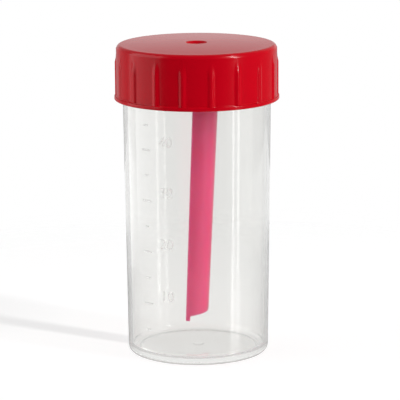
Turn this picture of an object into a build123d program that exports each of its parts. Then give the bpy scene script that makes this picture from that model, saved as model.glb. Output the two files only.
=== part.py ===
from build123d import *

import math
import os

# A 60 ml stool specimen container: a clear moulded jar, a ribbed screw cap and a spoon that hangs in it.
# Millimetres. The origin is the centre of the ring that the jar stands on, and +Z runs up the jar's axis.
# The front of the object is its -Y side. The cap is screwed down.

# Jar: a slightly tapered cup with a straight neck, whose bore never narrows upward.
jar_base_diameter = 33.4
jar_shoulder_diameter = 35.0
jar_shoulder_height = 61.6
jar_height = 72.6
jar_wall = 1.0
jar_floor = 1.0
neck_step = 0.15
foot_recess = 0.5
foot_ring_width = 1.6
base_edge_chamfer = 0.9
floor_corner_chamfer = 0.8
rim_chamfer = 0.2

# Cap: a shallow cup over the neck, with gripping ribs outside and a lip inside that plugs the bore.
cap_skirt_length = 11.6
cap_top_thickness = 1.4
cap_crown = 0.4
cap_wall = 0.9
neck_clearance = 0.7
cap_edge_chamfer = 0.55
rib_count = 18
rib_radius = 0.9
rib_height = 0.35
rib_slope_length = 0.8
rib_top_setback = 3.0
rim_bead_height = 0.9
rim_bead_proud = 0.55
rim_bead_chamfer = 0.3
lip_depth = 2.6
lip_thickness = 0.8
lip_clearance = 0.15
lip_lead_in = 0.35
lip_lead_in_length = 0.7
dimple_diameter = 5.2
dimple_depth = 0.6

# Socket under the cap, and the spoon's peg that clicks into it.
socket_length = 6.0
socket_wall = 1.35
socket_end_gap = 0.3
socket_mouth_chamfer = 0.2
socket_root_chamfer = 0.4
peg_diameter = 4.0
peg_length = 5.0
peg_clearance = 0.05
peg_chamfer = 0.4
snap_bead_proud = 0.22
snap_bead_half_width = 0.4
snap_bead_rise = 2.6

# Spoon: a flange under the peg, and a long blade like a strip of a tapering tube that leans to the left.
flange_thickness = 1.4
flange_margin = 0.45
blade_wall = 1.0
blade_root_radius = 4.67
blade_end_radius = 4.09
blade_first_angle = -110.0
blade_sweep = 110.0
blade_root_shift = 0.62
blade_end_shift = -1.70
blade_end_slant = 8.5
blade_corner_radius = 1.5
toe_width = 1.0
toe_length = 1.15
toe_floor_gap = 6.25

# Sizes of the jar that follow from those above.
jar_base_radius = jar_base_diameter / 2
jar_shoulder_radius = jar_shoulder_diameter / 2
neck_radius = jar_shoulder_radius - neck_step
neck_start = jar_shoulder_height + neck_step
floor_height = foot_recess + jar_floor
bore_floor_radius = jar_base_radius - jar_wall
bore_neck_radius = jar_shoulder_radius - jar_wall
foot_ring_inner_radius = jar_base_radius - base_edge_chamfer - foot_ring_width

# Sizes of the cap that follow: it seats on the jar's rim.
cap_underside = jar_height
cap_edge_top = cap_underside + cap_top_thickness
cap_top = cap_edge_top + cap_crown
cap_rim = cap_underside - cap_skirt_length
skirt_inner_radius = neck_radius + neck_clearance
skirt_radius = skirt_inner_radius + cap_wall
rib_crest_radius = skirt_radius + rib_height
rib_top = cap_edge_top - rib_top_setback
rib_slope_start = rib_top - rib_slope_length
rim_bead_outer_radius = skirt_radius + rim_bead_proud
rim_bead_top = cap_rim + rim_bead_height
rib_base = cap_rim + rim_bead_height / 2
lip_end = cap_underside - lip_depth
lip_radius = bore_neck_radius - lip_clearance

# Sizes of the socket and the spoon that follow: the flange seats on the socket's end.
peg_radius = peg_diameter / 2
peg_hole_radius = peg_radius + peg_clearance
socket_radius = peg_hole_radius + socket_wall
socket_end = cap_underside - socket_length
snap_bead_centre = socket_end + snap_bead_rise
flange_radius = blade_root_shift + blade_root_radius + flange_margin
flange_underside = socket_end - flange_thickness
toe_end_height = floor_height + toe_floor_gap
blade_end_height = toe_end_height + toe_length


def ring_edges(part, radius, height, near=1e-3):
    """The round edges of a part that have a given radius and lie at a given height."""
    return part.edges().filter_by(
        lambda edge: edge.geom_type == GeomType.CIRCLE
        and abs(edge.radius - radius) < near
        and abs(edge.arc_center.Z - height) < near
    )


def snap_section(radius):
    """Half section of the peg's bead or the socket's groove: a low ridge that stands out from a radius."""
    with BuildSketch(Plane.XZ) as section:
        with BuildLine():
            Polyline(
                (0, snap_bead_centre - snap_bead_half_width),
                (radius, snap_bead_centre - snap_bead_half_width),
                (radius + snap_bead_proud, snap_bead_centre),
                (radius, snap_bead_centre + snap_bead_half_width),
                (0, snap_bead_centre + snap_bead_half_width),
                close=True,
            )
        make_face()
    return section.sketch


def blade_at(height):
    """Where the blade's own axis passes at a height, and the blade's outer radius there."""
    share = (flange_underside - height) / (flange_underside - toe_end_height)
    shift = blade_root_shift + share * (blade_end_shift - blade_root_shift)
    return Vector(shift, 0, height), blade_root_radius + share * (blade_end_radius - blade_root_radius)


def blade_edge(height, angle, depth=0.0):
    """The point on the blade at a height and an angle round its axis, at a depth inside its outer face."""
    centre, radius = blade_at(height)
    return centre + Vector(radius - depth, 0, 0).rotate(Axis.Z, angle)


# The jar, turned from one closed profile.
with BuildPart() as jar:
    with BuildSketch(Plane.XZ):
        with BuildLine():
            Polyline(
                (0, foot_recess),
                (foot_ring_inner_radius - foot_recess, foot_recess),
                (foot_ring_inner_radius, 0),
                (jar_base_radius, 0),
                (jar_shoulder_radius, jar_shoulder_height),
                (neck_radius, neck_start),
                (neck_radius, jar_height),
                (bore_neck_radius, jar_height),
                (bore_neck_radius, jar_shoulder_height),
                (bore_floor_radius, floor_height),
                (0, floor_height),
                close=True,
            )
        make_face()
    revolve(axis=Axis.Z)
    chamfer(ring_edges(jar, jar_base_radius, 0), base_edge_chamfer)
    chamfer(ring_edges(jar, bore_floor_radius, floor_height), floor_corner_chamfer)
    chamfer(ring_edges(jar, neck_radius, jar_height), rim_chamfer)
    chamfer(ring_edges(jar, bore_neck_radius, jar_height), rim_chamfer)
jar.part.label = "jar"

with BuildPart() as screw_cap:
    # The outside is a straight skirt under a low crown, with a plain bead at its rim.
    with BuildSketch(Plane.XZ):
        with BuildLine():
            Polyline(
                (0, cap_top),
                (0, cap_rim),
                (rim_bead_outer_radius - rim_bead_chamfer, cap_rim),
                (rim_bead_outer_radius, cap_rim + rim_bead_chamfer),
                (rim_bead_outer_radius, rim_bead_top),
                (skirt_radius, rim_bead_top),
                (skirt_radius, cap_edge_top),
                close=True,
            )
        make_face()
    revolve(axis=Axis.Z)
    chamfer(ring_edges(screw_cap, skirt_radius, cap_edge_top), cap_edge_chamfer)

    # The ribs are round bars sunk in the skirt. A cut all round slopes them in at the top.
    with BuildSketch(Plane.XY.offset(rib_base)):
        with PolarLocations(rib_crest_radius - rib_radius, rib_count):
            Circle(rib_radius)
    extrude(amount=rib_top - rib_base)
    with BuildSketch(Plane.XZ):
        with BuildLine():
            Polyline(
                (skirt_radius, rib_top),
                (rib_crest_radius + rib_height, rib_slope_start - rib_slope_length),
                (rib_crest_radius + rib_height, rib_top),
                close=True,
            )
        make_face()
    revolve(axis=Axis.Z, mode=Mode.SUBTRACT)

    # The hollow goes over the neck. It is cut after the ribs, so that they stay outside.
    with BuildSketch(Plane.XY.offset(cap_rim)):
        Circle(skirt_inner_radius)
    extrude(amount=cap_underside - cap_rim, mode=Mode.SUBTRACT)

    # The lip plugs the bore. Its lower end is drawn in, so that it finds the mouth.
    with BuildSketch(Plane.XZ):
        with BuildLine():
            Polyline(
                (lip_radius - lip_thickness, cap_underside),
                (lip_radius - lip_thickness, lip_end),
                (lip_radius - lip_lead_in, lip_end),
                (lip_radius, lip_end + lip_lead_in_length),
                (lip_radius, cap_underside),
                close=True,
            )
        make_face()
    revolve(axis=Axis.Z)

    # The socket has a groove that the peg's bead clicks into.
    with BuildSketch(Plane.XY.offset(cap_underside)):
        Circle(socket_radius)
    extrude(amount=-socket_length)
    chamfer(ring_edges(screw_cap, socket_radius, cap_underside), socket_root_chamfer)
    with BuildSketch(Plane.XY.offset(socket_end)):
        Circle(peg_hole_radius)
    extrude(amount=peg_length + socket_end_gap, mode=Mode.SUBTRACT)
    chamfer(ring_edges(screw_cap, peg_hole_radius, socket_end), socket_mouth_chamfer)
    revolve(snap_section(peg_hole_radius), axis=Axis.Z, mode=Mode.SUBTRACT)

    # A shallow dish in the middle keeps the moulding gate below the top.
    with Locations((0, 0, cap_top)):
        Cone(
            dimple_diameter / 2 - dimple_depth,
            dimple_diameter / 2,
            dimple_depth,
            align=(Align.CENTER, Align.CENTER, Align.MAX),
            mode=Mode.SUBTRACT,
        )
screw_cap.part.label = "screw_cap"

with BuildPart() as spoon:
    # The blade is a strip of wall turned about its own leaning axis. It starts inside the flange.
    blade_head, head_radius = blade_at(flange_underside + flange_thickness / 2)
    blade_foot, foot_radius = blade_at(toe_end_height - blade_wall)
    lean = (blade_head - blade_foot).normalized()
    wall_normal = Vector(1, 0, 0).rotate(Axis.Z, blade_first_angle).cross(lean)
    with BuildSketch(Plane(origin=blade_foot, x_dir=lean.cross(wall_normal), z_dir=wall_normal)):
        with BuildLine():
            Polyline(
                (foot_radius - blade_wall, 0),
                (foot_radius, 0),
                (head_radius, (blade_head - blade_foot).length),
                (head_radius - blade_wall, (blade_head - blade_foot).length),
                close=True,
            )
        make_face()
    revolve(axis=Axis(blade_foot, lean), revolution_arc=blade_sweep)

    # It is cut off level at the toe's end, and further up on a slant beside the toe.
    toe_side = blade_edge(blade_end_height, blade_first_angle).X + toe_width
    slant_rise = math.tan(math.radians(blade_end_slant))
    with BuildSketch(Plane.XZ):
        with BuildLine():
            Polyline(
                (-flange_radius, toe_end_height),
                (toe_side, toe_end_height),
                (toe_side, blade_end_height),
                (flange_radius, blade_end_height + (flange_radius - toe_side) * slant_rise),
                (flange_radius, floor_height),
                (-flange_radius, floor_height),
                close=True,
            )
        make_face()
    extrude(amount=flange_radius, both=True, mode=Mode.SUBTRACT)

    # The corner across from the toe is rounded.
    far_angle = blade_first_angle + blade_sweep
    far_side = blade_edge(blade_end_height, far_angle, blade_wall / 2)
    far_corner = far_side + Vector(0, 0, (far_side.X - toe_side) * slant_rise)
    fillet(spoon.edges().sort_by_distance(far_corner)[0], blade_corner_radius)

    # The flange carries the blade, and seats on the socket's end.
    with BuildSketch(Plane.XY.offset(flange_underside)):
        Circle(flange_radius)
    extrude(amount=flange_thickness)

    # The peg has a round bead that clicks into the socket's groove.
    with BuildSketch(Plane.XY.offset(socket_end)):
        Circle(peg_radius)
    extrude(amount=peg_length)
    chamfer(ring_edges(spoon, peg_radius, socket_end + peg_length), peg_chamfer)
    revolve(snap_section(peg_radius), axis=Axis.Z)
spoon.part.label = "spoon"

os.makedirs("parts", exist_ok=True)
export_step(jar.part, "parts/jar.step")
export_step(screw_cap.part, "parts/screw_cap.step")
export_step(spoon.part, "parts/spoon.step")
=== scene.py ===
"""Looks of a stool specimen container: a clear jar, a red screw cap and a raspberry spoon.

Everything is in metres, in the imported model's own frame: the jar stands on z = 0, and -Y is the front.
"""

import math

import bmesh
import bpy
from bpy.props import FloatProperty, FloatVectorProperty, IntProperty, PointerProperty
from mathutils import Matrix, Vector


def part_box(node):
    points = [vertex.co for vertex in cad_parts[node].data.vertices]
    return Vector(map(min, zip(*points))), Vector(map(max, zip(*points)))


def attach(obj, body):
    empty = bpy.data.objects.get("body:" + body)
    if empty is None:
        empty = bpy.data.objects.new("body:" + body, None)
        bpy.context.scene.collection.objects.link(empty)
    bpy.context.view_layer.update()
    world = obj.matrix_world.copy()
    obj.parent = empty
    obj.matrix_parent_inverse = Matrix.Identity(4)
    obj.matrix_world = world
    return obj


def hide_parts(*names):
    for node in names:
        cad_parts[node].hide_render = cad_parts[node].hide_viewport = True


bl_info = {
    "name": "Specimen Container",
    "version": (1, 0, 0),
    "blender": (4, 5, 0),
    "location": "3D View > Sidebar > Specimen Container",
    "description": "Builds a clear specimen jar with a red screw cap and a spoon, and the stage round them",
    "category": "Add Mesh",
}

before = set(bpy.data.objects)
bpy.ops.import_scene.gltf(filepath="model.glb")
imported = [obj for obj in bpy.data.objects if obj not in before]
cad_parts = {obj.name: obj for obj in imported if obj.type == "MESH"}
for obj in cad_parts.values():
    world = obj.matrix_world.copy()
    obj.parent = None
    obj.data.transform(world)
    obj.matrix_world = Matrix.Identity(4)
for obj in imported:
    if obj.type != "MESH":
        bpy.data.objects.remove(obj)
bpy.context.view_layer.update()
_, JAR_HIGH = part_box("jar")
CAP_LOW, CAP_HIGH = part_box("screw_cap")
SPOON_LOW, SPOON_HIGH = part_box("spoon")

MM = 0.001
MILLILITRE = (10 * MM) ** 3
TURN = 2 * math.pi
# Two places that are closer than this count as one.
TOUCH = 0.01 * MM
# A point that is closer to the Z axis than this lies on it.
ON_AXIS = 1e-7

POLYPROPYLENE_IOR = 1.49
POLYSTYRENE_IOR = 1.55

# The threads of the neck and of the cap.
THREAD_HEIGHT = 0.33 * MM

# The snap bead on the spoon's peg, and the groove for it in the cap's socket.
SNAP_RISE = 0.22 * MM
SNAP_REACH = 0.4 * MM
SNAP_ROUND = 0.2 * MM


def length(name, description, millimetres):
    """A length that a user can change. It is given in millimetres and kept in metres."""
    value = millimetres * MM
    return FloatProperty(name=name, description=description, default=value, unit="LENGTH", precision=5)


def angle(name, description, degrees):
    """An angle that a user can change. It is given in degrees and kept in radians."""
    return FloatProperty(name=name, description=description, default=math.radians(degrees), subtype="ANGLE")


def colour(name, description, red, green, blue):
    """A colour that a user can change, in linear light."""
    return FloatVectorProperty(
        name=name, description=description, default=(red, green, blue), subtype="COLOR", size=3, min=0, max=1
    )


def share(name, description, value):
    """A number from 0 to 1 that a user can change."""
    return FloatProperty(name=name, description=description, default=value, subtype="FACTOR", min=0, max=1)


def metres(name, description, value):
    """A length of the stage that a user can change, in metres."""
    return FloatProperty(name=name, description=description, default=value, unit="LENGTH")


def watts(name, description, value):
    """The power of a lamp, which a user can change."""
    return FloatProperty(name=name, description=description, default=value, unit="POWER")


class JarSettings(bpy.types.PropertyGroup):
    """Sizes and colour of the jar."""

    wall: length("Wall", "Thickness of the jar's wall", 1.0)
    floor: length("Floor height", "Height of the inner floor above the base", 1.5)
    base_radius: length("Base radius", "Radius at the base, before its corner is rounded", 16.7)
    base_corner: length("Base corner", "Radius of the round corner at the base", 1.5)
    floor_corner: length("Floor corner", "Radius of the round corner where the floor meets the wall", 1.3)
    shoulder_radius: length("Shoulder radius", "Radius where the wall ends and the neck begins", 17.5)
    shoulder_height: length("Shoulder height", "Height where the neck begins", 61.6)
    neck_step: length("Neck step", "How far the neck is set in from the shoulder", 0.15)
    foot_radius: length("Foot radius", "Inner radius of the ring that the jar stands on", 14.2)
    foot_recess: length("Foot recess", "Height of the underside above the bench", 0.5)
    thread_start: length("Thread start", "Height where the neck's thread begins", 64.1)
    mark_relief: length("Mark relief", "How far the scale's marks stand out from the wall", 0.08)
    tint: colour("Tint", "Colour of the clear plastic", 0.942, 0.942, 0.93)
    clarity: share("Clarity", "Share of the light that goes through instead of being scattered", 0.985)


class CapSettings(bpy.types.PropertyGroup):
    """Sizes and colour of the screw cap."""

    skirt_radius: length("Skirt radius", "Outer radius of the skirt between the ribs", 18.95)
    inner_radius: length("Inner radius", "Inner radius of the skirt between the threads", 18.05)
    draft: length("Draft", "How much narrower the skirt is at its top", 0.08)
    top_plate: length("Top plate", "Thickness of the top plate at its edge", 1.4)
    edge: length("Edge", "Radius of the round edge round the top", 0.9)
    rib_count: IntProperty(name="Ribs", description="Number of gripping ribs", default=18, min=3, max=60)
    rib_radius: length("Rib radius", "Radius of the round bar that each rib is part of", 0.9)
    rib_height: length("Rib height", "How far a rib stands out from the skirt", 0.3)
    rib_shoulder: length("Rib shoulder", "How far below the top's edge the ribs begin to sink in", 3.8)
    bead_radius: length("Bead radius", "Outer radius of the bead round the rim", 19.49)
    bead_height: length("Bead height", "Height of the bead round the rim", 0.9)
    dish_radius: length("Dish radius", "Radius of the dish in the middle of the top", 2.6)
    dish_depth: length("Dish depth", "Depth of the dish in the middle of the top", 0.6)
    lip_radius: length("Lip radius", "Outer radius of the lip that plugs the bore", 16.35)
    lip_wall: length("Lip wall", "Thickness of the lip that plugs the bore", 0.8)
    lip_depth: length("Lip depth", "How far the lip reaches into the bore", 2.6)
    socket_radius: length("Socket radius", "Outer radius of the spoon's socket", 3.4)
    socket_bore: length("Socket bore", "Radius of the hole for the spoon's peg", 2.05)
    socket_depth: length("Socket depth", "Length of the spoon's socket", 6.0)
    socket_hole: length("Hole depth", "Depth of the hole for the spoon's peg", 5.3)
    red: colour("Red", "Colour of the cap", 0.58, 0.0002, 0.009)


class SpoonSettings(bpy.types.PropertyGroup):
    """Sizes and colour of the spoon."""

    wall: length("Blade wall", "Thickness of the blade", 1.0)
    root_radius: length("Root radius", "Outer radius of the blade at the flange", 4.67)
    end_radius: length("End radius", "Outer radius of the blade at its end", 4.09)
    first_angle: angle("First angle", "Where the blade's left edge lies round its own axis", -110)
    sweep: angle("Sweep", "How far the blade reaches round its own axis", 110)
    root_shift: length("Root shift", "How far the blade's axis is to the right at the flange", 0.62)
    end_shift: length("End shift", "How far the blade's axis is to the right at its end", -1.70)
    flange: length("Flange", "Thickness of the flange", 1.4)
    toe_width: length("Toe width", "Width of the short toe at the blade's left corner", 1.0)
    toe_length: length("Toe length", "How far the toe reaches below the rest of the blade", 1.15)
    end_slant: angle("End slant", "How steeply the blade's end rises to the right", 8.5)
    corner: length("Corner", "Radius of the blade's right corner", 1.5)
    peg_radius: length("Peg radius", "Radius of the peg that sits in the socket", 2.0)
    peg_length: length("Peg length", "Length of the peg that sits in the socket", 5.0)
    bead_rise: length("Bead rise", "Height of the peg's bead above the flange", 2.6)
    raspberry: colour("Raspberry", "Colour of the spoon", 0.97, 0.057, 0.21)


class StageSettings(bpy.types.PropertyGroup):
    """The floor, the lamps and the camera."""

    floor_radius: metres("Floor", "Radius of the floor's plain part", 0.11)
    glow: share("Glow", "Share of the floor's white that takes no shadow", 0.56)
    lit_share: share("Lit share", "Share of the light on the floor that the camera sees", 0.58)
    key: watts("Key lamp", "Power of the tall lamp on the right", 13.0)
    key_foot: watts("Key foot", "Power of the part of the right lamp that is below the floor", 0.26)
    fill: watts("Fill lamp", "Power of the tall lamp on the left", 8.5)
    fill_foot: watts("Fill foot", "Power of the part of the left lamp that is below the floor", 1.1)
    front: share("Front", "Brightness of the studio in front of the object", 0.03)
    back: share("Back", "Brightness of the studio behind the object", 0.55)
    lamp_distance: metres("Lamp distance", "Distance from the object to the lamps", 1.0)
    lamp_foot: metres("Lamp foot", "Height where the lamps' lower parts end", -0.35)
    key_bottom: metres("Key bottom", "Height where the right lamp begins", 0.1)
    key_top: metres("Key top", "Height where the right lamp ends", 1.05)
    fill_top: metres("Fill top", "Height where the left lamp ends", 1.2)
    key_width: metres("Key width", "Width of the right lamp", 0.06)
    fill_width: metres("Fill width", "Width of the left lamp", 1.1)
    key_bearing: angle("Key bearing", "How far the right lamp is from the front", 58)
    fill_bearing: angle("Fill bearing", "How far the left lamp is from the front", 82)
    camera_back: metres("Camera distance", "How far the camera is in front of the object", 0.61355)
    camera_height: metres("Camera height", "Height of the camera", 0.1635)
    pitch: angle("Pitch", "How far the camera looks down", 11.70)
    yaw: angle("Yaw", "How far the camera looks to the right", 0.056)
    roll: angle("Roll", "How far the camera is turned about its own line of sight", -0.357)
    lens: FloatProperty(name="Lens", description="Focal length on a 36 mm sensor", default=236.86)


class Wire:
    """A socket in a material. Python's arithmetic on it adds the Math nodes that work it out."""

    def __init__(self, finish, socket):
        self.finish = finish
        self.socket = socket

    def maths(self, operation, *values):
        return self.finish.node("ShaderNodeMath", {"operation": operation}, dict(enumerate(values)))

    def __add__(self, other):
        return self.maths("ADD", self, other)

    def __sub__(self, other):
        return self.maths("SUBTRACT", self, other)

    def __rsub__(self, other):
        return self.maths("SUBTRACT", other, self)

    def __mul__(self, other):
        return self.maths("MULTIPLY", self, other)

    def __truediv__(self, other):
        return self.maths("DIVIDE", self, other)

    def __rtruediv__(self, other):
        return self.maths("DIVIDE", other, self)

    def capped(self):
        """The same value, but never over 1."""
        return self.maths("MINIMUM", self, 1.0)

    __radd__ = __add__
    __rmul__ = __mul__


class Finish:
    """A material or a world, and the nodes in it."""

    def __init__(self, owner):
        owner.use_nodes = True
        self.tree = owner.node_tree
        self.tree.nodes.clear()

    def node(self, kind, settings=None, sockets=None, output=0):
        """Adds a node: its settings come first, and then the values or links of its sockets."""
        made = self.tree.nodes.new(kind)
        for key, value in (settings or {}).items():
            setattr(made, key, value)
        for key, value in (sockets or {}).items():
            if isinstance(value, Wire):
                self.tree.links.new(value.socket, made.inputs[key])
            else:
                made.inputs[key].default_value = value
        return Wire(self, made.outputs[output]) if made.outputs else None

    def surface(self, shader):
        """Shows a shader on the material's surface."""
        self.node("ShaderNodeOutputMaterial", sockets={"Surface": shader})

    def plastic(self, **sockets):
        """A Principled shader. The names of its sockets are written with underscores."""
        named = {key.replace("_", " "): value for key, value in sockets.items()}
        return self.node("ShaderNodeBsdfPrincipled", sockets=named)

    def ray(self, kind):
        """1 on rays of a kind, such as Camera, and 0 on others."""
        return self.node("ShaderNodeLightPath", output=f"Is {kind} Ray")

    def after(self, kind):
        """1 on rays that come after a bounce of a kind, such as Diffuse, and 0 on others."""
        return self.node("ShaderNodeLightPath", output=f"{kind} Depth").capped()

    def mirrored_inside(self):
        """1 on rays that a wall of the clear plastic has mirrored on its inside, and 0 on others."""
        return self.ray("Glossy") * self.after("Transparent")

    def blend(self, factor, first, second):
        """A shader between two others."""
        return self.node("ShaderNodeMixShader", sockets={0: factor, 1: first, 2: second})

    def ramp(self, value, start, end):
        """A number that goes smoothly from 0 to 1 as a value goes from start to end."""
        sockets = {"Value": value, "From Min": start, "From Max": end}
        return self.node("ShaderNodeMapRange", {"interpolation_type": "SMOOTHSTEP"}, sockets)

    def point(self):
        """The point on the piece, in metres from the middle of the jar's base."""
        return self.node("ShaderNodeTexCoord", output="Object")

    def along(self, vector, axis):
        """How far a vector reaches along an axis: X, Y or Z."""
        return self.node("ShaderNodeSeparateXYZ", sockets={0: vector}, output=axis)

    def noise(self, size, detail=2.0, stretch=(1, 1, 1)):
        """Soft noise from 0 to 1, whose blotches are about one size across."""
        scale = tuple(part / size for part in stretch)
        place = self.node("ShaderNodeMapping", sockets={"Vector": self.point(), "Scale": scale})
        return self.node("ShaderNodeTexNoise", sockets={"Vector": place, "Scale": 1.0, "Detail": detail})

    def mix(self, factor, first, second):
        """A colour between two others. The node takes them on sockets 6 and 7 and gives it on output 2."""
        return self.node("ShaderNodeMix", {"data_type": "RGBA"}, {0: factor, 6: first, 7: second}, output=2)

    def bump(self, height, depth):
        """A normal that follows a height from 0 to 1, of a real depth."""
        return self.node("ShaderNodeBump", sockets={"Height": height, "Strength": 1.0, "Distance": depth})


def shade(rgb, factor=1.0):
    """A colour with full alpha, darker by a factor below 1."""
    return (*(factor * part for part in rgb), 1.0)


def grey(value):
    """A grey with full alpha, from 0 for black to 1 for white."""
    return (value, value, value, 1.0)


def clear_plastic(tint, clarity):
    """Slightly milky clear polypropylene, a little denser where it is seen edge on.

    Shadow rays and rays after a glossy or diffuse bounce pass it straight, so that its shadow stays pale."""
    material = bpy.data.materials.new("clear_polypropylene")
    finish = Finish(material)
    haze = finish.noise(9 * MM, detail=3)
    edge_on = finish.ramp(finish.node("ShaderNodeLayerWeight", output="Facing"), 0.2, 0.9)
    milky = finish.mix(haze, shade(tint), shade(tint, 0.985))
    skin = finish.plastic(
        Base_Color=finish.mix(edge_on, milky, shade(tint, 0.87)),
        Roughness=0.05 + haze * 0.03,
        IOR=POLYPROPYLENE_IOR,
        Transmission_Weight=clarity,
    )
    passing = finish.node("ShaderNodeBsdfTransparent", sockets={"Color": (0.955, 0.955, 0.95, 1.0)})
    later = finish.ray("Shadow") + finish.after("Glossy") + finish.after("Diffuse")
    finish.surface(finish.blend(later.capped(), skin, passing))
    return material


def frosted_plastic(tint):
    """The same polypropylene where the mould is etched, for the raised marks of the scale."""
    material = bpy.data.materials.new("frosted_polypropylene")
    finish = Finish(material)
    etching = finish.noise(0.3 * MM)
    finish.surface(
        finish.plastic(
            Base_Color=finish.mix(etching, shade(tint), shade(tint, 0.97)),
            Roughness=0.5 + etching * 0.1,
            IOR=POLYPROPYLENE_IOR,
            Transmission_Weight=1.0,
            Alpha=0.5,
        )
    )
    return material


def red_plastic(red):
    """Opaque red polypropylene with a semi-gloss moulded skin."""
    material = bpy.data.materials.new("red_polypropylene")
    finish = Finish(material)
    cloud = finish.noise(7 * MM)
    grain = finish.noise(0.35 * MM)
    finish.surface(
        finish.plastic(
            Base_Color=finish.mix(cloud, shade(red), shade(red, 0.97)),
            Roughness=0.18 + cloud * 0.03,
            IOR=POLYPROPYLENE_IOR,
            Specular_IOR_Level=0.21,
            Normal=finish.bump(grain, 0.0008 * MM),
        )
    )
    return material


def raspberry_plastic(spoon, root, toe_end):
    """Raspberry polystyrene that lets light in.

    Painted shade: along both edges of the blade, from its root to its toe, the colour is made deeper,
    over a wider band at the right edge, which the key lamp lights most."""
    material = bpy.data.materials.new("raspberry_polystyrene")
    finish = Finish(material)
    flow = finish.noise(1.4 * MM, detail=3, stretch=(1, 1, 0.05))
    grain = finish.noise(0.3 * MM)
    streaked = finish.mix(flow, shade(spoon.raspberry), shade(spoon.raspberry, 0.82))
    point = finish.point()
    down = (root - finish.along(point, "Z")) / (root - toe_end)
    radius = spoon.root_radius + down * (spoon.end_radius - spoon.root_radius)
    middle = spoon.root_shift + down * (spoon.end_shift - spoon.root_shift)
    # Places across the blade are shares of its radius, so its right edge is at 1.
    across = (finish.along(point, "X") - middle) / radius
    # Painted shade: both edges of the blade are made deeper in colour, the right one over a wider band.
    left_edge = math.cos(spoon.first_angle)
    left_painted_shade = 1 - finish.ramp(across, left_edge, left_edge + 0.12)
    right_painted_shade = finish.ramp(across, 0.78, 0.97)
    finish.surface(
        finish.plastic(
            Base_Color=finish.mix((left_painted_shade + right_painted_shade).capped(), streaked, shade(spoon.raspberry, 0.68)),
            Roughness=0.3 + flow * 0.1,
            IOR=POLYSTYRENE_IOR,
            Subsurface_Weight=1.0,
            Subsurface_Radius=(5.0 * MM, 2.4 * MM, 3.2 * MM),
            Subsurface_Scale=1.0,
            Normal=finish.bump(grain, 0.0015 * MM),
        )
    )
    return material


def floor_sheet(glow, lit_share, soft_edge):
    """A white glossy plastic sheet with a soft round edge.

    What the camera sees of it is white but for the object's shadow, and what gloss mirrors of it is darker.
    Rays that the jar has mirrored on its inside see a part of the white too, but not on the far floor in
    front."""
    material = bpy.data.materials.new("white_sheet")
    finish = Finish(material)
    inside = finish.mirrored_inside()
    pale = finish.mix(finish.noise(3 * MM), grey(0.9), grey(0.88))
    sheet = finish.plastic(
        Base_Color=finish.mix(finish.ray("Glossy") - 0.75 * inside, pale, grey(0.45)),
        Roughness=0.24,
        IOR=POLYPROPYLENE_IOR,
        Specular_IOR_Level=0.15,
    )
    white = finish.node("ShaderNodeEmission", sockets={"Color": grey(1), "Strength": glow})
    lit = finish.node("ShaderNodeBsdfDiffuse", sockets={"Color": grey(lit_share)})
    shown = finish.node("ShaderNodeAddShader", sockets={0: white, 1: lit})
    point = finish.point()
    out = finish.node("ShaderNodeVectorMath", {"operation": "LENGTH"}, {0: point}, output="Value")
    far = finish.ramp(out, 35 * MM, 50 * MM)
    in_front = 1 - finish.ramp(finish.along(point, "Y"), -20 * MM, 20 * MM)
    seen = finish.ray("Camera") + finish.ray("Transmission") + 0.4 * inside * (1 - far * in_front)
    open_air = finish.node("ShaderNodeBsdfTransparent")
    faded = finish.ramp(out, soft_edge, 1.5 * soft_edge)
    finish.surface(finish.blend(faded, finish.blend(seen, sheet, shown), open_air))
    return material


def smooth_step(value, low, high):
    """A number that goes from 0 to 1 as value goes from low to high, smoothly at both ends."""
    part = min(max((value - low) / (high - low), 0.0), 1.0)
    return part * part * (3 - 2 * part)


def rounded(corners, steps=6, hold=0.04 * MM):
    """A line of (radius, height) points through corners of (radius, height, corner radius).

    A corner with a radius becomes an arc. Points a hold's length before and after it keep the flats flat."""
    line = []
    for index, (radius, height, size) in enumerate(corners):
        here = Vector((radius, height))
        if not size or index in (0, len(corners) - 1):
            line.append(here)
            continue
        before = (Vector(corners[index - 1][:2]) - here).normalized()
        after = (Vector(corners[index + 1][:2]) - here).normalized()
        half = before.angle(after) / 2
        reach = size / math.tan(half)
        centre = here + (before + after).normalized() * (size / math.sin(half))
        start = here + before * reach
        end = here + after * reach
        opening = math.pi - 2 * half
        turn_way = math.copysign(1, (start - centre).cross(end - centre))
        line.append(start + before * hold)
        for step in range(steps + 1):
            spoke = (start - centre).copy()
            spoke.rotate(Matrix.Rotation(turn_way * opening * step / steps, 2))
            line.append(centre + spoke)
        line.append(end + after * hold)
    return line


def spaced(line, spacing):
    """The same line with points put in: no stretch is longer than spacing(radius, height) says there."""
    dense = [line[0]]
    for first, second in zip(line, line[1:]):
        middle = (first + second) / 2
        count = max(1, math.ceil((second - first).length / spacing(middle.x, middle.y)))
        dense += [first.lerp(second, (step + 1) / count) for step in range(count)]
    return dense


def evenly(count):
    """A full turn in equal steps."""
    return [TURN * step / count for step in range(count)]


def turned(name, line, angles, relief=None):
    """A mesh turned about the Z axis from a line of (radius, height) points.

    relief(bearing, radius, height) says how far a point is moved outward. A line that starts or ends on the
    axis is closed there by a single point, and one that does neither is closed into a ring."""
    mesh = bmesh.new()
    rings = []
    for radius, height in line:
        if radius < ON_AXIS:
            rings.append([mesh.verts.new((0, 0, height))])
            continue
        ring = []
        for bearing in angles:
            reach = radius + (relief(bearing, radius, height) if relief else 0)
            ring.append(mesh.verts.new((reach * math.cos(bearing), reach * math.sin(bearing), height)))
        rings.append(ring)
    pairs = list(zip(rings, rings[1:]))
    if len(rings[0]) > 1 and len(rings[-1]) > 1:
        pairs.append((rings[-1], rings[0]))
    for upper, lower in pairs:
        for step in range(len(angles)):
            after = (step + 1) % len(angles)
            corners = [upper[step % len(upper)], lower[step % len(lower)]]
            corners += [lower[after % len(lower)], upper[after % len(upper)]]
            mesh.faces.new(dict.fromkeys(corners))
    bmesh.ops.recalc_face_normals(mesh, faces=mesh.faces)
    return finished(name, mesh)


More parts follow.
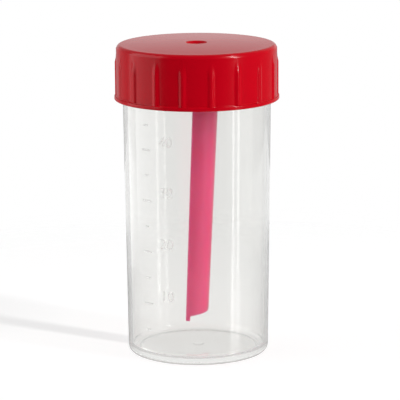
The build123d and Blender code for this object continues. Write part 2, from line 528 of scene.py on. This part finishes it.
def finished(name, mesh):
    """An object made from a bmesh, shaded smooth."""
    data = bpy.data.meshes.new(name)
    for face in mesh.faces:
        face.smooth = True
    mesh.to_mesh(data)
    mesh.free()
    made = bpy.data.objects.new(name, data)
    bpy.context.scene.collection.objects.link(made)
    return made


def joined(pieces):
    """One object made of several. It keeps the first one's name."""
    first = pieces[0]
    with bpy.context.temp_override(active_object=first, selected_editable_objects=pieces):
        bpy.ops.object.join()
    return first


def thread(bearing, height, start, turns=1.6, pitch=4 * MM, width=1.5 * MM, flank=0.5 * MM, run_out=0.5):
    """The share of its full height that a right-hand thread has at a point. It sinks in at both ends.

    The width is the thread's foot, the flank is each of its slopes, and the run-out is an angle."""
    most = 0.0
    for lap in range(math.ceil(turns) + 1):
        wound = bearing + TURN * lap
        ends = min(wound, TURN * turns - wound)
        if ends > 0:
            apart = abs(height - start - pitch * wound / TURN)
            crest = 1 - smooth_step(apart, width / 2 - flank, width / 2)
            most = max(most, crest * smooth_step(ends, 0, run_out))
    return most


def adopt(piece, material, body, node):
    """Gives a piece its material, and puts it in its CAD node's place on its body."""
    piece.data.materials.clear()
    piece.data.materials.append(material)
    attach(piece, body)
    if node:
        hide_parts(node)


def wall_radius(jar, height):
    """Outer radius of the jar's wall at a height."""
    part = height / jar.shoulder_height
    return jar.base_radius + part * (jar.shoulder_radius - jar.base_radius)


class SPECIMEN_OT_jar(bpy.types.Operator):
    """Build the clear jar, with its neck thread and its foot ring"""

    bl_idname = "specimen.jar"
    bl_label = "Jar"

    gate_radius = 1.1 * MM
    gate_height = 0.15 * MM
    # Radii of the small corners, and of the bend where the bore's taper ends.
    gate_corner = 0.1 * MM
    foot_corner = 0.3 * MM
    foot_edge = 0.15 * MM
    step_corner = 0.06 * MM
    rim_corner = 0.3 * MM
    bore_bend = 6 * MM
    steps_around = 240
    thread_spacing = 0.16 * MM
    plain_spacing = 2.5 * MM

    def execute(self, context):
        jar = context.scene.specimen_jar
        neck = jar.shoulder_radius - jar.neck_step
        rim = JAR_HIGH.z
        bore_floor = jar.base_radius - jar.wall
        bore_neck = jar.shoulder_radius - jar.wall
        line = rounded(
            [
                (0, jar.foot_recess - self.gate_height, 0),
                (self.gate_radius, jar.foot_recess - self.gate_height, self.gate_corner),
                (self.gate_radius + self.gate_height, jar.foot_recess, self.gate_corner),
                (jar.foot_radius - jar.foot_recess, jar.foot_recess, self.foot_corner),
                (jar.foot_radius, 0, self.foot_edge),
                (jar.base_radius, 0, jar.base_corner),
                (jar.shoulder_radius, jar.shoulder_height, self.step_corner),
                (neck, jar.shoulder_height + jar.neck_step, self.step_corner),
                (neck, rim, self.rim_corner),
                (bore_neck, rim, self.rim_corner),
                (bore_neck, jar.shoulder_height, self.bore_bend),
                (bore_floor, jar.floor, jar.floor_corner),
                (0, jar.floor, 0),
            ]
        )

        def spacing(radius, height):
            on_neck = radius > neck - 5 * TOUCH and height > jar.shoulder_height + jar.neck_step
            return self.thread_spacing if on_neck else self.plain_spacing

        def relief(bearing, radius, height):
            if abs(radius - neck) > TOUCH:
                return 0
            return THREAD_HEIGHT * thread(bearing, height, jar.thread_start)

        piece = turned("jar_moulding", spaced(line, spacing), evenly(self.steps_around), relief)
        adopt(piece, clear_plastic(jar.tint, jar.clarity), "jar_body", "jar")
        return {"FINISHED"}


class SPECIMEN_OT_scale(bpy.types.Operator):
    """Put the raised filling scale on the jar's wall, with lines and plain numbers"""

    bl_idname = "specimen.scale"
    bl_label = "Filling scale"

    # The scale in millilitres: a numbered line at every long step, and a short one at every other short step.
    highest = 50
    long_step = 10
    short_step = 5
    # Bearings count from +X, so the front is at -90 degrees.
    line_bearing = math.radians(-90 - 43)
    number_bearing = math.radians(-90 - 25)
    number_height = 2.6 * MM
    # How far the middle of a number is above its line.
    number_rise = 2.2 * MM
    line_height = 0.35 * MM
    long_line = 2.6 * MM
    short_line = 1.3 * MM
    line_steps = 12
    # The outline across a line, from its lower edge over its top to its upper edge. Each point has its share
    # of the line's height, from the middle, and of the relief. The edges go a little way into the wall.
    line_outline = ((-0.5, -0.3), (-0.45, 0.6), (-0.3, 1.0), (0.3, 1.0), (0.45, 0.6), (0.5, -0.3))
    slice_height = 0.05 * MM
    # How much larger the size of the letters is than the height of a digit.
    font_size = 1.35
    # The bevel of a digit and how far its outline is drawn in for it, as shares of the relief.
    digit_bevel = 0.25
    digit_inset = 0.2

    def fill_height(self, jar, millilitres):
        """Height of the surface of so much liquid, from the bore's volume."""
        wanted = millilitres * MILLILITRE
        height = jar.floor
        while wanted > 0:
            radius = wall_radius(jar, height) - jar.wall
            wanted -= math.pi * radius * radius * self.slice_height
            height += self.slice_height
        return height

    def on_wall(self, jar, mesh, bearing, height):
        """Wraps a flat mesh round the wall: x goes round, y goes up and z stands out."""
        for point in mesh.verts:
            across, up, out = point.co
            level = height + up
            reach = wall_radius(jar, level) + out
            here = bearing + across / wall_radius(jar, height)
            point.co = (reach * math.cos(here), reach * math.sin(here), level)

    def bar(self, width, height, relief):
        """A flat bar with a rounded top, cut into short stretches so that it can follow the wall."""
        mesh = bmesh.new()
        rings = []
        for step in range(self.line_steps + 1):
            across = width * (step / self.line_steps - 0.5)
            outline = [(across, part * height, rise * relief) for part, rise in self.line_outline]
            rings.append([mesh.verts.new(point) for point in outline])
        for first, second in zip(rings, rings[1:]):
            for index in range(len(first)):
                after = (index + 1) % len(first)
                mesh.faces.new((first[index], first[after], second[after], second[index]))
        mesh.faces.new(rings[0])
        mesh.faces.new(reversed(rings[-1]))
        bmesh.ops.recalc_face_normals(mesh, faces=mesh.faces)
        return mesh

    def number(self, value, relief):
        """A plain number as a flat raised mesh, centred on its own middle."""
        text = bpy.data.curves.new("number", "FONT")
        text.body = str(value)
        text.size = self.number_height * self.font_size
        text.align_x = "CENTER"
        text.align_y = "CENTER"
        text.extrude = relief / 2
        text.bevel_depth = relief * self.digit_bevel
        text.offset = -relief * self.digit_inset
        holder = bpy.data.objects.new("number", text)
        bpy.context.scene.collection.objects.link(holder)
        bpy.context.view_layer.update()
        depsgraph = bpy.context.evaluated_depsgraph_get()
        flat = bpy.data.meshes.new_from_object(holder.evaluated_get(depsgraph))
        mesh = bmesh.new()
        mesh.from_mesh(flat)
        bmesh.ops.remove_doubles(mesh, verts=mesh.verts, dist=TOUCH / 2)
        bpy.data.objects.remove(holder)
        bpy.data.meshes.remove(flat)
        return mesh

    def execute(self, context):
        jar = context.scene.specimen_jar
        pieces = []
        for value in range(self.short_step, self.highest, self.short_step):
            numbered = value % self.long_step == 0
            level = self.fill_height(jar, value)
            width = self.long_line if numbered else self.short_line
            mark = self.bar(width, self.line_height, jar.mark_relief)
            self.on_wall(jar, mark, self.line_bearing, level)
            pieces.append(finished("scale_marks" if not pieces else "mark", mark))
            if numbered:
                digits = self.number(value, jar.mark_relief)
                self.on_wall(jar, digits, self.number_bearing, level + self.number_rise)
                pieces.append(finished("mark", digits))
        scale = joined(pieces)
        adopt(scale, frosted_plastic(jar.tint), "jar_body", None)
        return {"FINISHED"}


class SPECIMEN_OT_cap(bpy.types.Operator):
    """Build the red screw cap, with its ribs, thread, sealing lip and socket"""

    bl_idname = "specimen.cap"
    bl_label = "Screw cap"

    # How far the cap's thread starts below the neck's.
    thread_drop = 2 * MM
    # The ribs: half of the angle that each takes with its blends, and the round blend into the skirt.
    rib_reach = math.radians(4.6)
    rib_blend = 0.25 * MM
    rib_steps = 14
    between_steps = 5
    crown_steps = 14
    sink_spacing = 0.09 * MM
    thread_spacing = 0.18 * MM
    plain_spacing = 1.2 * MM
    # The points are close together from this far below the height where the ribs sink in to this far above.
    sink_below = 0.3 * MM
    sink_above = 1.2 * MM
    # A point that is less than this inside the skirt's radius is on the skirt's outer face.
    skirt_skin = 0.5 * MM
    # The thread ends this far below the top plate, and the ribs reach this far into the bead.
    thread_gap = 0.3 * MM
    rib_overlap = 0.1 * MM
    dish_slope = 0.55 * MM
    lead_in_height = 0.7 * MM
    lead_in_depth = 0.35 * MM
    # Radii of the small corners.
    dish_floor_corner = 0.25 * MM
    dish_lip_corner = 0.12 * MM
    bead_root_corner = 0.25 * MM
    bead_top_corner = 0.15 * MM
    rim_corner = 0.3 * MM
    skirt_root_corner = 0.2 * MM
    lip_corner = 0.15 * MM
    lead_in_corner = 1.0 * MM
    lip_root_corner = 0.3 * MM
    socket_root_corner = 0.4 * MM
    socket_end_corner = 0.2 * MM
    hole_corner = 0.1 * MM

    def crown(self, cap, skirt_top, edge_top):
        """Points on the low dome, from the dish's lip outward to where the round edge begins."""
        flat = skirt_top - cap.edge
        rise = (CAP_HIGH.z - edge_top) / (1 - (cap.dish_radius / flat) ** 2)
        steps = range(1, self.crown_steps)
        radii = [cap.dish_radius + (flat - cap.dish_radius) * step / self.crown_steps for step in steps]
        return [(radius, edge_top + rise * (1 - (radius / flat) ** 2), 0) for radius in radii]

    def angles(self, cap):
        """A full turn, in fine steps over the ribs and coarse steps between them."""
        pitch = TURN / cap.rib_count
        found = []
        for rib in range(cap.rib_count):
            middle = pitch * rib
            for step in range(self.rib_steps):
                found.append(middle + self.rib_reach * (2 * step / self.rib_steps - 1))
            gap = pitch - 2 * self.rib_reach
            for step in range(self.between_steps):
                found.append(middle + self.rib_reach + gap * step / self.between_steps)
        return found

    def rib(self, cap, bearing, height, sink_from):
        """How far the ribs stand out from the skirt at a point."""
        pitch = TURN / cap.rib_count
        off = ((bearing + pitch / 2) % pitch - pitch / 2) * cap.skirt_radius
        above = max(height - sink_from, 0)
        squared = cap.rib_radius**2 - off * off - above * above
        bulge = math.sqrt(max(squared, 0)) - (cap.rib_radius - cap.rib_height)
        return (bulge + math.sqrt(bulge * bulge + self.rib_blend**2)) / 2

    def execute(self, context):
        cap = context.scene.specimen_cap
        jar = context.scene.specimen_jar
        underside = JAR_HIGH.z
        rim = CAP_LOW.z
        edge_top = underside + cap.top_plate
        skirt_top = cap.skirt_radius - cap.draft
        bead_top = rim + cap.bead_height
        dish_top = CAP_HIGH.z
        lip_end = underside - cap.lip_depth
        socket_end = underside - cap.socket_depth
        hole_end = socket_end + cap.socket_hole
        bore = cap.socket_bore
        groove = socket_end + context.scene.specimen_spoon.bead_rise
        outside = [
            (0, dish_top - cap.dish_depth, 0),
            (cap.dish_radius - self.dish_slope, dish_top - cap.dish_depth, self.dish_floor_corner),
            (cap.dish_radius, dish_top, self.dish_lip_corner),
            *self.crown(cap, skirt_top, edge_top),
            (skirt_top, edge_top, cap.edge),
            (cap.skirt_radius, bead_top, self.bead_root_corner),
            (cap.bead_radius, bead_top, self.bead_top_corner),
            (cap.bead_radius, rim, self.rim_corner),
            (cap.inner_radius, rim, self.rim_corner),
        ]
        inside = [
            (cap.inner_radius, underside, self.skirt_root_corner),
            (cap.lip_radius, underside, self.lip_corner),
            (cap.lip_radius, lip_end + self.lead_in_height, self.lead_in_corner),
            (cap.lip_radius - self.lead_in_depth, lip_end, self.lip_corner),
            (cap.lip_radius - cap.lip_wall, lip_end, self.lip_corner),
            (cap.lip_radius - cap.lip_wall, underside, self.lip_root_corner),
            (cap.socket_radius, underside, self.socket_root_corner),
            (cap.socket_radius, socket_end, self.socket_end_corner),
            (bore, socket_end, self.socket_end_corner),
            (bore, groove - SNAP_REACH, 0),
            (bore + SNAP_RISE, groove, SNAP_ROUND),
            (bore, groove + SNAP_REACH, 0),
            (bore, hole_end, self.hole_corner),
            (0, hole_end, 0),
        ]
        line = rounded(outside + inside)
        sink_from = edge_top - cap.rib_shoulder

        def threaded(radius):
            return abs(radius - cap.inner_radius) < TOUCH

        def spacing(radius, height):
            on_skirt = radius > cap.skirt_radius - self.skirt_skin
            if on_skirt and sink_from - self.sink_below < height < sink_from + self.sink_above:
                return self.sink_spacing
            return self.thread_spacing if threaded(radius) else self.plain_spacing

        def relief(bearing, radius, height):
            if threaded(radius) and height < underside - self.thread_gap:
                return -THREAD_HEIGHT * thread(bearing, height, jar.thread_start - self.thread_drop)
            if radius > skirt_top - TOUCH and height > bead_top - self.rib_overlap:
                return max(0, cap.skirt_radius + self.rib(cap, bearing, height, sink_from) - radius)
            return 0

        piece = turned("cap_moulding", spaced(line, spacing), self.angles(cap), relief)
        adopt(piece, red_plastic(cap.red), "cap_body", "screw_cap")
        return {"FINISHED"}


class SPECIMEN_OT_spoon(bpy.types.Operator):
    """Build the spoon: a curved blade with a toe, a flange and a peg"""

    bl_idname = "specimen.spoon"
    bl_label = "Spoon"

    peg_steps = 96
    peg_spacing = 0.8 * MM
    flange_corner = 0.3 * MM
    peg_root_corner = 0.15 * MM
    peg_end_corner = 0.4 * MM
    # The blade's round edges: their radius, and the share of the wall that is left at the very edge.
    edge_round = 0.32 * MM
    least_wall = 0.02
    edge_steps = 5
    across_steps = 26
    along_steps = 60
    # Up to this height above the blade's end, the rows of points follow the end's outline.
    end_zone = 0.4 * MM
    root_flare = 0.5 * MM
    # Half of the width over which the blade's end steps down to the toe.
    toe_blend = 0.05 * MM
    # How much longer the toe is round the blade than it looks from the front.
    toe_arc = 1.03

    def graded(self, total, middle_steps, both_ends=True):
        """Distances from 0 to total that crowd towards a round edge, each with its share of the full wall."""
        edge = self.edge_round
        quarter = [math.pi / 2 * step / self.edge_steps for step in range(self.edge_steps + 1)]
        start = [(edge * (1 - math.cos(turn)), max(math.sin(turn), self.least_wall)) for turn in quarter]
        last = total - edge if both_ends else total
        middle = [(edge + (last - edge) * step / middle_steps, 1.0) for step in range(1, middle_steps + 1)]
        end = [(total - far, wall) for far, wall in reversed(start[:-1])] if both_ends else []
        return start + middle + end

    def blade(self, spoon, socket_end):
        """A strip of a leaning, tapering tube, from inside the flange down to the toe."""
        top = socket_end - spoon.flange / 2
        root = socket_end - spoon.flange
        toe_end = SPOON_LOW.z
        half = spoon.wall / 2

        def section(height):
            """How far the tube's axis is to the right at a height, and its radius there."""
            part = (root - height) / (root - toe_end)
            shift = spoon.root_shift + part * (spoon.end_shift - spoon.root_shift)
            return shift, spoon.root_radius + part * (spoon.end_radius - spoon.root_radius)

        breadth = (spoon.end_radius - half) * spoon.sweep
        toe_edge = spoon.toe_width * self.toe_arc
        step_down = (toe_edge - self.toe_blend, toe_edge + self.toe_blend)

        def end_height(distance):
            """Height of the blade's end, at a distance round the blade from its left edge."""
            _, radius = section(toe_end)
            here = spoon.first_angle + spoon.sweep * distance / breadth
            across = radius * (math.cos(here) - math.cos(spoon.first_angle))
            slant = toe_end + spoon.toe_length + max(across - spoon.toe_width, 0) * math.tan(spoon.end_slant)
            level = toe_end + (slant - toe_end) * smooth_step(distance, *step_down)
            into = distance - (breadth - spoon.corner)
            if into > 0:
                level += spoon.corner - math.sqrt(max(spoon.corner**2 - into * into, 0))
            return level

        columns = sorted(self.graded(breadth, self.across_steps) + [(edge, 1.0) for edge in step_down])
        rows = self.graded(top - toe_end - spoon.toe_length, self.along_steps, both_ends=False)
        deepest = rows[-1][0]
        mesh = bmesh.new()

        def skin(side):
            """Columns of points up the blade's outer side, 1, or its inner side, -1."""
            found = []
            for distance, wall_here in columns:
                low = end_height(distance)
                here = spoon.first_angle + spoon.sweep * distance / breadth
                column = []
                for up, wall_up in rows:
                    height = low + (top - low) * up / deepest if up > self.end_zone else low + up
                    shift, radius = section(height)
                    flare = self.root_flare * max(0, 1 - (root - height) / self.root_flare) ** 2
                    out = radius - half + side * (half * wall_here * wall_up + flare)
                    point = (shift + out * math.cos(here), out * math.sin(here), height)
                    column.append(mesh.verts.new(point))
                found.append(column)
            return found

        outer, inner = skin(1), skin(-1)
        for columns_here in (outer, inner):
            for first, second in zip(columns_here, columns_here[1:]):
                for index in range(len(first) - 1):
                    mesh.faces.new((first[index], second[index], second[index + 1], first[index + 1]))

        def row(index):
            """The points in one row of the outer side, and those of the inner side."""
            return [column[index] for column in outer], [column[index] for column in inner]

        for line, other in (row(0), (outer[0], inner[0]), (outer[-1], inner[-1]), row(-1)):
            for index in range(len(line) - 1):
                mesh.faces.new((line[index], line[index + 1], other[index + 1], other[index]))
        bmesh.ops.recalc_face_normals(mesh, faces=mesh.faces)
        return finished("spoon_moulding", mesh)

    def execute(self, context):
        spoon = context.scene.specimen_spoon
        socket_end = JAR_HIGH.z - context.scene.specimen_cap.socket_depth
        flange_radius = SPOON_HIGH.x
        root = socket_end - spoon.flange
        peg_end = socket_end + spoon.peg_length
        bead = socket_end + spoon.bead_rise
        line = rounded(
            [
                (0, root, 0),
                (flange_radius, root, self.flange_corner),
                (flange_radius, socket_end, self.flange_corner),
                (spoon.peg_radius, socket_end, self.peg_root_corner),
                (spoon.peg_radius, bead - SNAP_REACH, 0),
                (spoon.peg_radius + SNAP_RISE, bead, SNAP_ROUND),
                (spoon.peg_radius, bead + SNAP_REACH, 0),
                (spoon.peg_radius, peg_end, self.peg_end_corner),
                (0, peg_end, 0),
            ]
        )
        peg = turned("peg", spaced(line, lambda radius, height: self.peg_spacing), evenly(self.peg_steps))
        piece = joined([self.blade(spoon, socket_end), peg])
        adopt(piece, raspberry_plastic(spoon, root, SPOON_LOW.z), "spoon_body", "spoon")
        return {"FINISHED"}


class SPECIMEN_OT_stage(bpy.types.Operator):
    """Set the floor, the lamps, the light from all round and the camera"""

    bl_idname = "specimen.stage"
    bl_label = "Stage"

    sensor = 36.0
    near_clip = 0.01
    # The floor's sheet is this far below the ring that the jar stands on.
    floor_gap = 0.02 * MM
    floor_squares = 24

    def floor(self, stage):
        """A white sheet just below the jar."""
        mesh = bmesh.new()
        squares = self.floor_squares
        bmesh.ops.create_grid(mesh, x_segments=squares, y_segments=squares, size=2 * stage.floor_radius)
        for point in mesh.verts:
            point.co.z = -self.floor_gap
        piece = finished("floor", mesh)
        piece.data.materials.append(floor_sheet(stage.glow, stage.lit_share, stage.floor_radius))

    def lamp(self, stage, name, power, bearing, width, low, high):
        """A lamp that stands upright beside the object, from one height to another, and faces it.

        Rays that go through the jar don't see it."""
        light = bpy.data.lights.new(name, "AREA")
        light.shape = "RECTANGLE"
        light.energy = power
        light.size = width
        light.size_y = high - low
        holder = bpy.data.objects.new(name, light)
        bpy.context.scene.collection.objects.link(holder)
        away = Vector((math.sin(bearing), -math.cos(bearing), 0))
        holder.location = away * stage.lamp_distance + Vector((0, 0, (low + high) / 2))
        holder.rotation_euler = (-away).to_track_quat("-Z", "Y").to_euler()
        holder.visible_transmission = False

    def world(self, stage):
        """Light from all round, bright behind the object and dark in front. The camera sees plain white.

        Directions are unit vectors: X points to the right, Y behind the object and Z up."""
        world = bpy.data.worlds.new("studio")
        bpy.context.scene.world = world
        finish = Finish(world)
        way = finish.node("ShaderNodeTexCoord", output="Generated")
        right, behind, above = (finish.along(way, axis) for axis in "XYZ")
        gloss = finish.ray("Glossy")
        # Gloss mirrors a pale backdrop, from a little below the level to a little above it.
        level = finish.ramp(above, -0.1, 0.1) - finish.ramp(above, 0.1, 0.24)
        backdrop = 0.77 * gloss * finish.ramp(behind, 0.8, 1.0) * level
        # What the jar mirrors on its inside is pale too, and less so in front.
        inside = finish.mirrored_inside() * (0.18 + 0.67 * finish.ramp(behind, -0.2, 0.3))
        white = (finish.ray("Camera") + finish.ray("Transmission") + backdrop + inside).capped()
        # The rest of the room is darker where gloss mirrors it, most of all on the right, round the key lamp.
        dimmed = gloss * (0.25 + 0.5 * finish.ramp(right, 0.5, 0.9))
        room = stage.front + finish.ramp(behind, -0.9, 1.1) * (stage.back - stage.front) * (1 - dimmed)
        strength = white + (1 - white) * room
        shown = finish.node("ShaderNodeBackground", sockets={"Color": grey(1), "Strength": strength})
        finish.node("ShaderNodeOutputWorld", sockets={"Surface": shown})

    def camera(self, stage):
        """The camera, in front of the object and a little above it."""
        data = bpy.data.cameras.new("camera")
        data.lens = stage.lens
        data.sensor_width = self.sensor
        data.clip_start = self.near_clip
        holder = bpy.data.objects.new("camera", data)
        bpy.context.scene.collection.objects.link(holder)
        level = math.cos(stage.pitch)
        forward = Vector((math.sin(stage.yaw) * level, math.cos(stage.yaw) * level, -math.sin(stage.pitch)))
        right = Vector((math.cos(stage.yaw), -math.sin(stage.yaw), 0))
        up = right.cross(forward)
        across = math.cos(stage.roll) * right + math.sin(stage.roll) * up
        above = math.cos(stage.roll) * up - math.sin(stage.roll) * right
        turn = Matrix((across, above, -forward)).transposed().to_4x4()
        holder.matrix_world = Matrix.Translation((0, -stage.camera_back, stage.camera_height)) @ turn
        bpy.context.scene.camera = holder

    def execute(self, context):
        stage = context.scene.specimen_stage
        self.floor(stage)
        right = (stage.key_bearing, stage.key_width)
        left = (-stage.fill_bearing, stage.fill_width)
        self.lamp(stage, "key", stage.key, *right, stage.key_bottom, stage.key_top)
        self.lamp(stage, "key_foot", stage.key_foot, *right, stage.lamp_foot, 0)
        self.lamp(stage, "fill", stage.fill, *left, 0, stage.fill_top)
        self.lamp(stage, "fill_foot", stage.fill_foot, *left, stage.lamp_foot, 0)
        self.world(stage)
        self.camera(stage)
        context.scene.view_settings.view_transform = "Standard"
        return {"FINISHED"}


class SPECIMEN_PT_panel(bpy.types.Panel):
    """The pieces of the specimen container, with their sizes and colours"""

    bl_idname = "SPECIMEN_PT_panel"
    bl_label = "Specimen Container"
    bl_space_type = "VIEW_3D"
    bl_region_type = "UI"
    bl_category = "Specimen Container"

    def draw(self, context):
        for operators, name in PIECES:
            box = self.layout.box()
            for operator in operators:
                box.operator(operator.bl_idname)
            settings = getattr(context.scene, name)
            for field in settings.__annotations__:
                box.prop(settings, field)


PIECES = (
    ((SPECIMEN_OT_jar, SPECIMEN_OT_scale), "specimen_jar"),
    ((SPECIMEN_OT_cap,), "specimen_cap"),
    ((SPECIMEN_OT_spoon,), "specimen_spoon"),
    ((SPECIMEN_OT_stage,), "specimen_stage"),
)
SETTINGS = {
    "specimen_jar": JarSettings,
    "specimen_cap": CapSettings,
    "specimen_spoon": SpoonSettings,
    "specimen_stage": StageSettings,
}
OPERATORS = tuple(operator for operators, _ in PIECES for operator in operators)


def register():
    for name, settings in SETTINGS.items():
        bpy.utils.register_class(settings)
        setattr(bpy.types.Scene, name, PointerProperty(type=settings))
    for kind in (*OPERATORS, SPECIMEN_PT_panel):
        bpy.utils.register_class(kind)


def unregister():
    for kind in (SPECIMEN_PT_panel, *reversed(OPERATORS)):
        bpy.utils.unregister_class(kind)
    for name, settings in SETTINGS.items():
        delattr(bpy.types.Scene, name)
        bpy.utils.unregister_class(settings)


def main():
    """Builds every piece and the stage."""
    register()
    bpy.ops.specimen.jar()
    bpy.ops.specimen.scale()
    bpy.ops.specimen.cap()
    bpy.ops.specimen.spoon()
    bpy.ops.specimen.stage()


if __name__ == "__main__":
    main()
